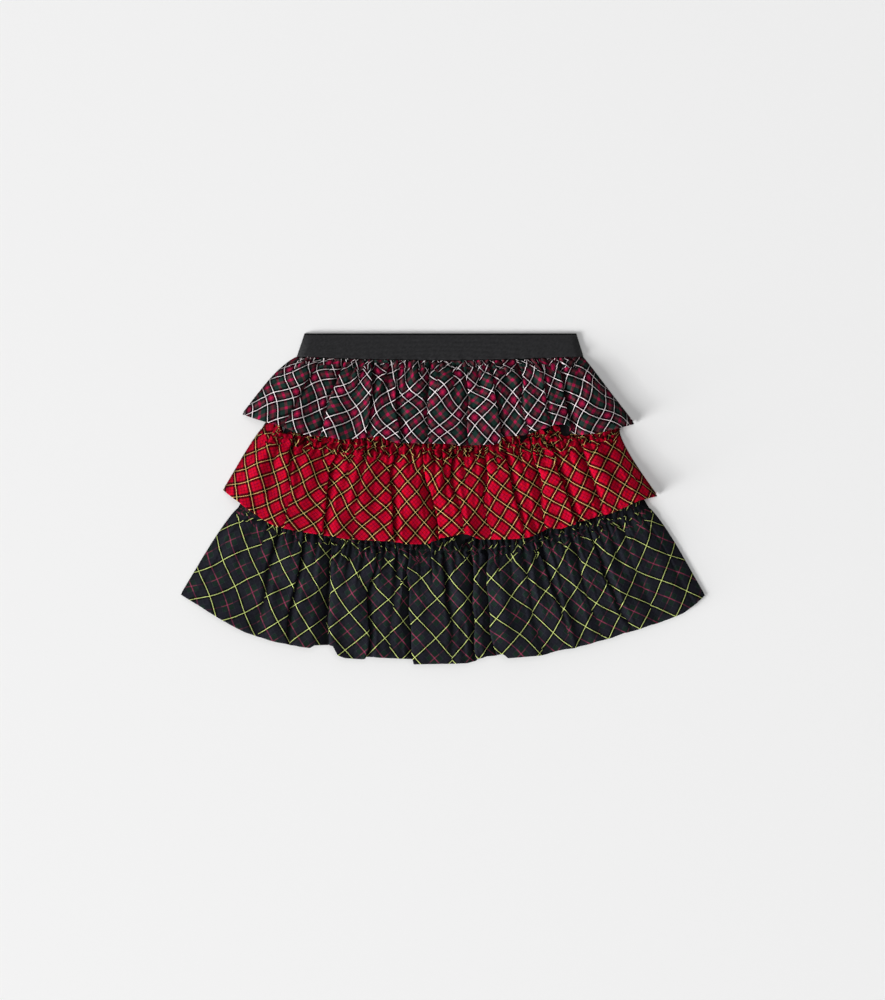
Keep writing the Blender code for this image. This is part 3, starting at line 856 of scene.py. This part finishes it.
def pull(points, rests, free):
    """One round of pulls, each kind of neighbour after the other."""
    for (down, right, share), rest in zip(PULLS, rests):
        first, other = neighbours(points, down, right)
        gap = points[other] - points[first]
        far = np.sqrt((gap * gap).sum(axis=-1)) + 1e-9
        error = 1 - rest / far
        if max(down, abs(right)) == BEND_RUN:
            error = np.minimum(error, 0)
        gap *= (0.5 * share * error)[:, :, None]
        points[first] += gap * free[first]
        points[other] -= gap * free[other]


def rest_lengths(points, places):
    """True distances on the flat cloth, as far as the drawn shape can be brought to them."""
    rests = []
    for down, right, _ in PULLS:
        first, other = neighbours(points, down, right)
        flat = np.linalg.norm(places[other] - places[first], axis=-1)
        drawn = np.linalg.norm(points[other] - points[first], axis=-1)
        rests.append(np.clip(flat, drawn * STRETCH_LIMITS[0], drawn * STRETCH_LIMITS[1]))
    return rests


def settle(points, places, downs, floor):
    """The panel after it has come to rest; floor is the lowest height of each row."""
    rests = rest_lengths(points, places)
    start, points = points, points.copy()
    rows, columns = points.shape[:2]
    edge = np.minimum(1, (1 - np.abs(np.linspace(-1, 1, columns))) / HELD_SIDE)
    free = np.outer(np.minimum(1, np.abs(downs) / HELD_TOP), edge)[:, :, None]
    keep = np.full((rows, 1), KEEP_PLACE)
    keep[-HEM_ROWS:, 0] = np.linspace(KEEP_PLACE, KEEP_HEM, HEM_ROWS)
    keep[downs < 0, 0] = KEEP_FRILL
    keep = np.concatenate([keep, keep, np.full((rows, 1), KEEP_HEIGHT)], axis=1)[:, None, :]
    keep = np.maximum(keep, (KEEP_SIDE * (1 - edge))[None, :, None])
    for count in range(ROUNDS):
        pull(points, rests, free)
        move = keep * (start - points)
        move[:, :, 2] -= WEIGHT
        points += move * free
        points[:, :, 2] = np.maximum(points[:, :, 2], np.minimum(floor[:, None], start[:, :, 2]))
        if count % HEAP_ROUNDS == 0:
            points = mix(points, lie_on_heap(points), free)
    moved = np.linalg.norm(points - start, axis=-1)
    print("settled: moved", round(float(moved.mean()), 2), "mm, at most",
          round(float(moved.max()), 1))
    return points


print("each point has", 2 * len(PULLS), "neighbours")

# %% [markdown]
# ### Creases
#
# The finest creases of gathered cotton are narrower than this mesh can hold, and little light gets
# into them. They could be painted darker by hand. Here shade is painted from the shape: each point
# is told how deep it lies below the cloth around it, as an attribute, and the material is painted
# darker there and a little lighter on crests.

# %% Creases and sheets
# Painted shade: a point deep in a crease gets a darker colour, one on a crest a lighter one.
CREASE_DEPTH = 3.2  # mm below the cloth around it that counts as the bottom of a crease
CREST_PAINTED_LIGHTER = -0.3  # the same for cloth that stands above what is around it, which gets a little painted highlight
AROUND = 3  # cells of the map
CLOTH_THICKNESS = 0.45


def blurred(grid):
    for axis in (0, 1):
        grid = sum(np.roll(grid, shift, axis) for shift in range(-AROUND, AROUND + 1))
    return grid


def depth_in_crease(points):
    """0 on open cloth, 1 deep in a crease and below 0 on a crest, for each point: its share of
    painted shade, or of painted highlight.
    """
    cells = map_cells(points)
    total, count = np.zeros_like(heap), np.zeros_like(heap)
    np.add.at(total, cells, points[:, :, 2])
    np.add.at(count, cells, 1.0)
    around = blurred(total) / np.maximum(1.0, blurred(count))
    return np.clip((around[cells] - points[:, :, 2]) / CREASE_DEPTH, CREST_PAINTED_LIGHTER, 1.0)


def sheet_object(name, points, flat, finish, thickness=CLOTH_THICKNESS, painted_shade_share=None):
    """A grid of points as a thin sheet. flat holds its faces' corners on the flat cloth, in mm."""
    rows, columns = points.shape[:2]
    corners = face_corners(np.arange(rows * columns).reshape(rows, columns))
    mesh = bpy.data.meshes.new(name)
    mesh.from_pydata((points.reshape(-1, 3) * MM).tolist(), [], corners.reshape(-1, 4).tolist())
    layer = mesh.uv_layers.new(name="flat_cloth")
    layer.uv.foreach_set("vector", (flat * MM).astype(np.float32).ravel())
    # This point attribute carries painted shade for creases and a little painted highlight for
    # crests.
    if painted_shade_share is not None:
        mesh.attributes.new("crease", "FLOAT", "POINT").data.foreach_set("value", painted_shade_share.ravel())
    mesh.materials.append(finish)
    mesh.shade_smooth()
    piece = put_in_scene(name, mesh)
    wall = piece.modifiers.new("cloth_thickness", "SOLIDIFY")
    wall.thickness = thickness * MM
    wall.offset = -1.0
    return piece


def declare(piece, node):
    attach(piece, "root")
    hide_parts(node)


print("cloth", CLOTH_THICKNESS, "mm thick")

# %% [markdown]
# ## Tartan
#
# Cotton yarn is dyed, woven as a twill and lightly brushed. To the eye it is matt, with faint
# diagonal ridges, slightly wavering lines and a colour that is uneven from yarn to yarn. One order
# of coloured threads, the sett, makes both the warp and the weft. Where two colours cross the eye
# mixes them, and a bright accent thread wins over the ground. A printed image would blur close up,
# so each sett is a table of stripes with real widths, turned into a colour ramp whose alpha says
# how much a stripe wins. It runs from one middle stripe to the next and back again. The strips are
# cut on the bias, at 45 degrees to the threads, so the checks stand on their points.

# %% Setts
BLACK, WHITE, CLARET, GREEN = "#030203", "#fff4f6", "#5a1430", "#1b312c"
YELLOW_ON_RED, RED, DARK_RED = "#ffe38c", "#bc0429", "#60001a"
YELLOW_ON_NAVY, NAVY, GREY, BOTTLE_GREEN = "#dcea8c", "#1e1e26", "#2e2e34", "#1a2823"


def there_and_back(*stripes):
    return stripes + stripes[-2::-1]


# stripes are rows of width in mm, colour, and how much each wins as warp and as weft
white_line, wide_white_line = (0.3, WHITE, 1.3, 1.3), (0.62, WHITE, 1.3, 1.3)
yellow_line, pale_line = (0.21, YELLOW_ON_RED, 1.2, 0.5), (0.22, YELLOW_ON_NAVY, 1.2, 1.0)
SETTS = {
    "tier_1": (
        white_line,
        *there_and_back((1.9, BLACK, 0.8, 0.8), (1.85, CLARET, 0.3, 0.3),
                        (2.3, "#a81840", 0.24, 0.24)),
        wide_white_line,
        *there_and_back((2.4, BLACK, 0.8, 0.8), (4.5, GREEN, 0.5, 0.5),
                        (3.0, "#a81848", 0.14, 0.14)),
        white_line,
    ),
    "tier_2": (
        yellow_line,
        *there_and_back((2.4, "#040202", 0.36, 0.36), (2.7, RED, 0.0, 0.0),
                        (0.5, DARK_RED, 0.12, 0.12), (2.6, RED, 0.0, 0.0)),
        yellow_line,
    ),
    "tier_3": (
        pale_line,
        *there_and_back((2.0, "#060607", 0.5, 0.5), (5.4, NAVY, 0.56, 0.56),
                        (0.35, GREY, 0.6, 0.5), (5.5, BOTTLE_GREEN, 0.15, 0.15),
                        (0.9, "#9c3a5c", 0.3, 0.0)),
        pale_line,
    ),
}
print("repeats", {name: round(sum(row[0] for row in sett), 1) for name, sett in SETTS.items()})

# %% Stripes and ridges
def stripe_ramp(tree, stripes, place, weights):
    """A colour ramp that repeats the stripes along place, which is in millimetres."""
    repeat = sum(stripe[0] for stripe in stripes)
    share = put(tree, "Math", {0: place, 1: repeat}, operation="DIVIDE")
    wrapped = put(tree, "Math", {0: share}, operation="FRACT")
    ramp = put(tree, "ValToRGB", Fac=wrapped)
    stops = ramp.color_ramp
    stops.interpolation = "CONSTANT"
    start = 0.0
    for number, stripe in enumerate(stripes):
        if number >= 2:  # a new ramp has two stops already
            stops.elements.new(start / repeat)
        stop = stops.elements[number]
        stop.position = start / repeat
        stop.color = linear(stripe[1])[:3] + [stripe[weights]]
        start += stripe[0]
    return ramp


def ridges(tree, place, spacing):
    """Sine ridges at this spacing along place, for a relief."""
    phase = put(tree, "Math", {0: place, 1: 2 * math.pi / spacing}, operation="MULTIPLY")
    return put(tree, "Math", {0: phase}, operation="SINE")


print("stripes", {name: len(sett) for name, sett in SETTS.items()})

# %% Tartan material
IN_MM = (1 / MM,) * 3  # turns the metres of the flat cloth into millimetres
# Cotton keeps the default IOR of 1.5. Its typical roughness is 0.8 to 0.9, and brushed yarn
# scatters nearly all of its shine, which is what makes the cloth matt.
COTTON_ROUGHNESS, COTTON_GLOSS = 0.88, 0.05
SHOWN, EVEN = 0.85, 0.5  # how fast a stripe that wins takes over from an even mix
WARP_SHARE, WEFT_SHARE = 0.9, 0.9  # the most that a thread shows over what it crosses
WAVER_SCALE, WAVER = 55.0, 1.2 * MM  # a line wavers every 18 mm or so, by half a millimetre
MOTTLE_SCALE, MOTTLE, TINT = 0.42, (0.55, 1.4), (0.485, 0.515)  # patches of yarn, 2 to 3 mm
PAINTED_CREASE_SHADE = 0.75  # how much painted shade darkens the cloth at the bottom of a crease
# mm between twill ridges. The real ones are 0.3 mm apart, too fine to show, so these are coarser.
THREAD, TWILL_DEPTH = 0.55, 0.1 * MM


def tartan(name, stripes):
    """Yarn-dyed cotton twill on the bias, with one sett in the warp and in the weft."""
    made, tree = new_material(name)
    flat = put(tree, "UVMap", uv_map="flat_cloth")
    waver = put(tree, "TexNoise", Vector=flat, Scale=WAVER_SCALE, Detail=2.0)
    moved = put(tree, "VectorMath", {0: waver.outputs["Color"], 1: (0.5, 0.5, 0.5)},
                operation="SUBTRACT")
    moved = put(tree, "VectorMath", {0: moved}, operation="SCALE", Scale=WAVER)
    bent = put(tree, "VectorMath", {0: flat, 1: moved})
    turned = put(tree, "Mapping", Vector=bent, Scale=IN_MM, Rotation=(0, 0, math.radians(-45)))
    threads = put(tree, "SeparateXYZ", Vector=turned)
    warp = stripe_ramp(tree, stripes, threads.outputs["X"], 2)
    weft = stripe_ramp(tree, stripes, threads.outputs["Y"], 3)
    lead = put(tree, "Math", {0: warp.outputs["Alpha"], 1: weft.outputs["Alpha"]},
               operation="SUBTRACT")
    shown = put(tree, "Math", {0: lead, 1: SHOWN, 2: EVEN}, operation="MULTIPLY_ADD")
    shown = put(tree, "Clamp", Value=shown, Min=1 - WEFT_SHARE, Max=WARP_SHARE)
    woven = put(tree, "Mix", {6: weft.outputs["Color"], 7: warp.outputs["Color"]},
                data_type="RGBA", Factor=shown)

    mottle = put(tree, "TexNoise", Vector=turned, Scale=MOTTLE_SCALE, Detail=3.0)
    uneven = put(tree, "MapRange", Value=mottle.outputs["Fac"], To_Min=MOTTLE[0], To_Max=MOTTLE[1])
    other = put(tree, "SeparateColor", Color=mottle.outputs["Color"])
    tint = put(tree, "MapRange", Value=other.outputs["Red"], To_Min=TINT[0], To_Max=TINT[1])
    # Painted shade: the crease attribute darkens the colour in creases and gathers, and lightens
    # it a little on crests.
    crease = put(tree, "Attribute", attribute_name="crease")
    shade = put(tree, "Math", {0: crease.outputs["Fac"], 1: -PAINTED_CREASE_SHADE, 2: 1.0},
                operation="MULTIPLY_ADD")
    bright = put(tree, "Math", {0: uneven, 1: shade}, operation="MULTIPLY")
    dyed = put(tree, "HueSaturation", Color=woven.outputs[2], Value=bright, Hue=tint)

    slope = put(tree, "Math", {0: threads.outputs["X"], 1: threads.outputs["Y"]})
    twill = ridges(tree, slope, THREAD)
    relief = put(tree, "Bump", Height=twill, Strength=0.25, Distance=TWILL_DEPTH)
    finish_material(tree, Base_Color=dyed, Roughness=COTTON_ROUGHNESS,
                    Specular_IOR_Level=COTTON_GLOSS, Normal=relief)
    return made


SLOTS = {"tier_1": "white_line_tartan", "tier_2": "red_tartan", "tier_3": "navy_tartan"}
tartans = {name: tartan(SLOTS[name], stripes) for name, stripes in SETTS.items()}
print("tartans", sorted(SLOTS.values()))

# %% [markdown]
# ## The ruffles
#
# Each ruffle is a loop that the side seams divide into a front and a back. Its rows are drawn and
# fitted to the cut strip, laid flat, settled and laid flat again, and become a sheet with its
# tartan. Every hem rests on the ruffle below, so the work goes from the hem of the skirt upwards.

# %% Build the ruffles
FRONT_STEP, BACK_STEP, DOWN_STEP = 1.15, 2.0, 1.35  # mm of cloth between points; down is longer
FRONT_SEED, BACK_SEED = 11, 31
TUCKED = -0.03  # how far above its stitch line the top ruffle runs on under the band
SINK = 1.0  # mm that settling may take the cloth below its lowest drawn height
PAINTED_GATHER_SHADE = {"tier_1": 0.0, "tier_2": 0.8, "tier_3": 1.1}  # painted shade: how much darker the crumpled gathers are coloured, as less light gets into them


def rows_down(ruffle, side, step):
    """The values of down, from the top edge of a panel to its hem."""
    depth = STRIPS[ruffle.name][1]
    downs = np.linspace(0, 1, round((depth - ruffle.heading) / step) + 1)
    above = []
    if ruffle.heading:
        above = np.linspace(-1, 0, round(HEADING_CLOTH * ruffle.heading / step) + 1)[:-1]
    elif side == "front":
        above = [TUCKED]
    return np.concatenate([above, downs])


def make_panel(ruffle, side, row_of, step, seed):
    gathers = deal_gathers(ruffle, seed)
    length, depth = STRIPS[ruffle.name]
    downs = rows_down(ruffle, side, step * DOWN_STEP)
    points = spread_threads(
        lambda across, down, fullness: row_of(ruffle, gathers, across, down, fullness),
        downs, round(length / step), length)
    points, steps = points[:, :, :3], points[:, :, 3]
    places = lay_flat(ruffle, points)
    if side == "front":
        floor_z = along(FLOOR_UNDER_FRONT[ruffle.name], downs) + LIFT - SINK
        points = settle(points, places, downs, floor_z)
        places = lay_flat(ruffle, points)
        places = places + bias_give(ruffle, places)
        np.maximum.at(heap, map_cells(points), points[:, :, 2])
    # Painted shade: the crumpled cloth at the thread is coloured darker, on top of the painted
    # crease shade.
    painted_gather_shade = PAINTED_GATHER_SHADE[ruffle.name] * crumpled_share(ruffle, downs)[:, None]
    piece = sheet_object(f"{ruffle.name}_{side}_cloth", points,
                         hide_cloth(ruffle, gathers, places, steps, downs), tartans[ruffle.name],
                         painted_shade_share=np.minimum(1, depth_in_crease(points) + painted_gather_shade))
    declare(piece, f"{ruffle.name}_{side}")
    print(piece.name, points.shape[:2], "flat box", np.ptp(places, axis=(0, 1)).round(),
          "top", round(float(points[:, :, 2].max()), 1), "mm")


for number, ruffle in reversed(list(enumerate(RUFFLES))):
    make_panel(ruffle, "front", front_row, FRONT_STEP, FRONT_SEED + number)
    make_panel(ruffle, "back", back_row, BACK_STEP, BACK_SEED + number)

# %% [markdown]
# ## Underskirt
#
# A plain tube of thin black cotton carries the lower two ruffles. It is plain-woven and not
# brushed, so it looks flat and matt with a fine even grain. Only slivers of it show where a hem
# rises, so two sheets with soft wrinkles do. Flat faces between four corners would cut through the
# curved stitch lines, so it is spread with the ruffles' helpers.

# %% Underskirt
LINING_HALF_TOP, LINING_HALF_BOTTOM, LINING_TUCK, LINING_BELOW_STITCH = 130.0, 188.0, 2.5, 2.5
BAND_TOP_Y, BAND_BOTTOM_Y, BAND_BOTTOM_SAG = 165.5, 142.5, 4.0
BAND_TOP_LEFT, BAND_TOP_RIGHT = -138.2, 133.4
BAND_BOTTOM_LEFT, BAND_BOTTOM_RIGHT = -145.7, 140.4
LINING_HEIGHT, LINING_LIFTED = ((0.0, 2.3), (0.2, 3.8)), 0.12
LINING_RISES = {"front": 1.6, "back": 0.2}  # mm above the ruffles that it lies on
LINING_SEED, LINING_WRINKLE = 5, 0.13
LINING_CUT, LINING_DEPTH, LINING_GRID = (325.0, 195.0), 190.0, (75, 130)
LINING_BLACK = "#161618"
GRAIN_SCALE, GRAIN_DEPTH = 1.6, 0.2 * MM  # specks of 0.6 mm: threads 0.2 mm apart can't show


def cotton(name):
    """Plain-woven black cotton. Smooth yarn is a little glossier than brushed, but still matt."""
    made, tree = new_material(name)
    flat = put(tree, "UVMap", uv_map="flat_cloth")
    scaled = put(tree, "Mapping", Vector=flat, Scale=IN_MM)
    weave = put(tree, "TexNoise", Vector=scaled, Scale=GRAIN_SCALE, Detail=2.0)
    relief = put(tree, "Bump", Height=weave, Strength=0.3, Distance=GRAIN_DEPTH)
    finish_material(tree, Base_Color=linear(LINING_BLACK), Roughness=0.9, Specular_IOR_Level=0.2,
                    Normal=relief)
    return made


def lining_row(rise, across, share):
    lowest = RUFFLES[-1]
    band_x = (BAND_BOTTOM_LEFT + BAND_BOTTOM_RIGHT) / 2 + across * LINING_HALF_TOP
    top_y = BAND_BOTTOM_Y - BAND_BOTTOM_SAG * (1 - across**2) + LINING_TUCK
    bottom_x, bottom_y = stitch_line(lowest, across * LINING_HALF_BOTTOM / lowest.stitch_right[0])
    x, y = mix(band_x, bottom_x, share), mix(top_y, bottom_y - LINING_BELOW_STITCH, share)
    lifted = LIFT * min(1.0, share / LINING_LIFTED)
    soft = waves(x, y, LINING_SEED, WRINKLES, LINING_WRINKLE)
    return x, y, along(LINING_HEIGHT, share) + lifted + rise + soft


def plain_sheet(row_of, grid, depth):
    """Points of a panel without gathers, and its faces' corners on the flat cloth."""
    downs = np.linspace(0, 1, grid[0])
    points = spread_threads(row_of, downs, grid[1])
    width = walked(points)
    places = np.stack([width, -np.broadcast_to(downs[:, None] * depth, width.shape)], axis=-1)
    return points, face_corners(places)


black_cotton = cotton("black_plain_cotton")
for side, rise in LINING_RISES.items():
    points, flat = plain_sheet(lambda across, share: lining_row(rise, across, share), LINING_GRID,
                               LINING_DEPTH)
    piece = sheet_object(f"underskirt_{side}_cloth", points, flat, black_cotton)
    declare(piece, f"underskirt_{side}")
    print(piece.name, points.shape[:2], "mean width", walked(points)[:, -1].mean().round(), "mm")

# %% [markdown]
# ## Waistband
#
# A loop of 25 mm elastic, pressed flat: black polyester knitted round rubber cores, with soft ribs
# along it, a slight sheen, fluff that catches pale lint and a colour that is darker along its top
# edge. A block with a bump would do from above, but the lower edge stands up on the gathers, so
# each half is a thin sheet that rises over them.

# %% Waistband
BAND_BACK_RISE, BAND_BACK_HEIGHT = 1.0, 1.6  # mm that the back shows above, and its height
BAND_HEIGHTS, BAND_SIDE_HEIGHT, BAND_EDGE = (3.8, 7.4), 3.6, 0.06  # top edge, lower edge, sides
BAND_GATHERED, BAND_PLEATS, BAND_DRIFT = 0.25, 2.1, 13  # mm high, and mm of their two rhythms
BAND_CUT, BAND_GRID, ELASTIC_THICKNESS = (282.0, 25.0), (20, 220), 1.3
RIB = 1.25 * MM
FLUFF_SCALE, FLUFF_DEPTH = 420.0, 0.3 * MM  # specks of 2.4 mm with finer ones in them
ELASTIC_BLACK, LINT = "#19191b", "#2c2c2e"
EDGE_FROM, EDGE_TO, EDGE_DARK = -1.3 * MM, -0.5 * MM, 0.12


def elastic(name):
    """Knitted black elastic. Polyester is smoother than cotton, so its ribs catch some light."""
    made, tree = new_material(name)
    flat = put(tree, "UVMap", uv_map="flat_cloth")
    parts = put(tree, "SeparateXYZ", Vector=flat)
    rib = ridges(tree, parts.outputs["Y"], RIB)
    fluff = put(tree, "TexNoise", Vector=flat, Scale=FLUFF_SCALE, Detail=3.0)
    height = put(tree, "Math", {0: rib, 1: fluff.outputs["Fac"]})
    relief = put(tree, "Bump", Height=height, Strength=0.5, Distance=FLUFF_DEPTH)
    lint = put(tree, "ValToRGB", Fac=fluff.outputs["Fac"])
    for stop, place, colour in zip(lint.color_ramp.elements, (0.3, 0.75), (ELASTIC_BLACK, LINT)):
        stop.position, stop.color = place, linear(colour)
    # The colour is darker within about a millimetre of the top edge.
    edge = put(tree, "MapRange", Value=parts.outputs["Y"], From_Min=EDGE_FROM,
               From_Max=EDGE_TO, To_Min=1.0, To_Max=EDGE_DARK)
    lint_and_dark_top_edge = put(tree, "HueSaturation", Color=lint.outputs["Color"], Value=edge)
    finish_material(tree, Base_Color=lint_and_dark_top_edge, Roughness=0.75, Specular_IOR_Level=0.3, Normal=relief)
    return made


def band_row(side, across, share):
    top_y = BAND_TOP_Y - (BAND_BACK_RISE if side == "front" else 0.0)
    left = mix(BAND_TOP_LEFT, BAND_BOTTOM_LEFT, share)
    right = mix(BAND_TOP_RIGHT, BAND_BOTTOM_RIGHT, share)
    bottom_y = BAND_BOTTOM_Y - BAND_BOTTOM_SAG * (1 - across**2)
    x, y = mix(left, right, (across + 1) / 2), mix(top_y, bottom_y, share)
    if side == "back":
        return x, y, np.full_like(x, BAND_BACK_HEIGHT)
    gathered = BAND_GATHERED * np.sin(x / BAND_PLEATS + np.sin(x / BAND_DRIFT)) * share**3
    height = mix(BAND_HEIGHTS[0], BAND_HEIGHTS[1] + LIFT, share) + gathered
    return x, y, mix(BAND_SIDE_HEIGHT, height, from_edge(across, BAND_EDGE))


black_elastic = elastic("black_knitted_elastic")
for side in ("front", "back"):
    points, flat = plain_sheet(lambda across, share: band_row(side, across, share), BAND_GRID,
                               BAND_CUT[1])
    piece = sheet_object(f"waistband_{side}_elastic", points, flat, black_elastic,
                         ELASTIC_THICKNESS)
    declare(piece, f"waistband_{side}")
    print(piece.name, points.shape[:2], "width", walked(points)[:, -1].mean().round(), "mm")
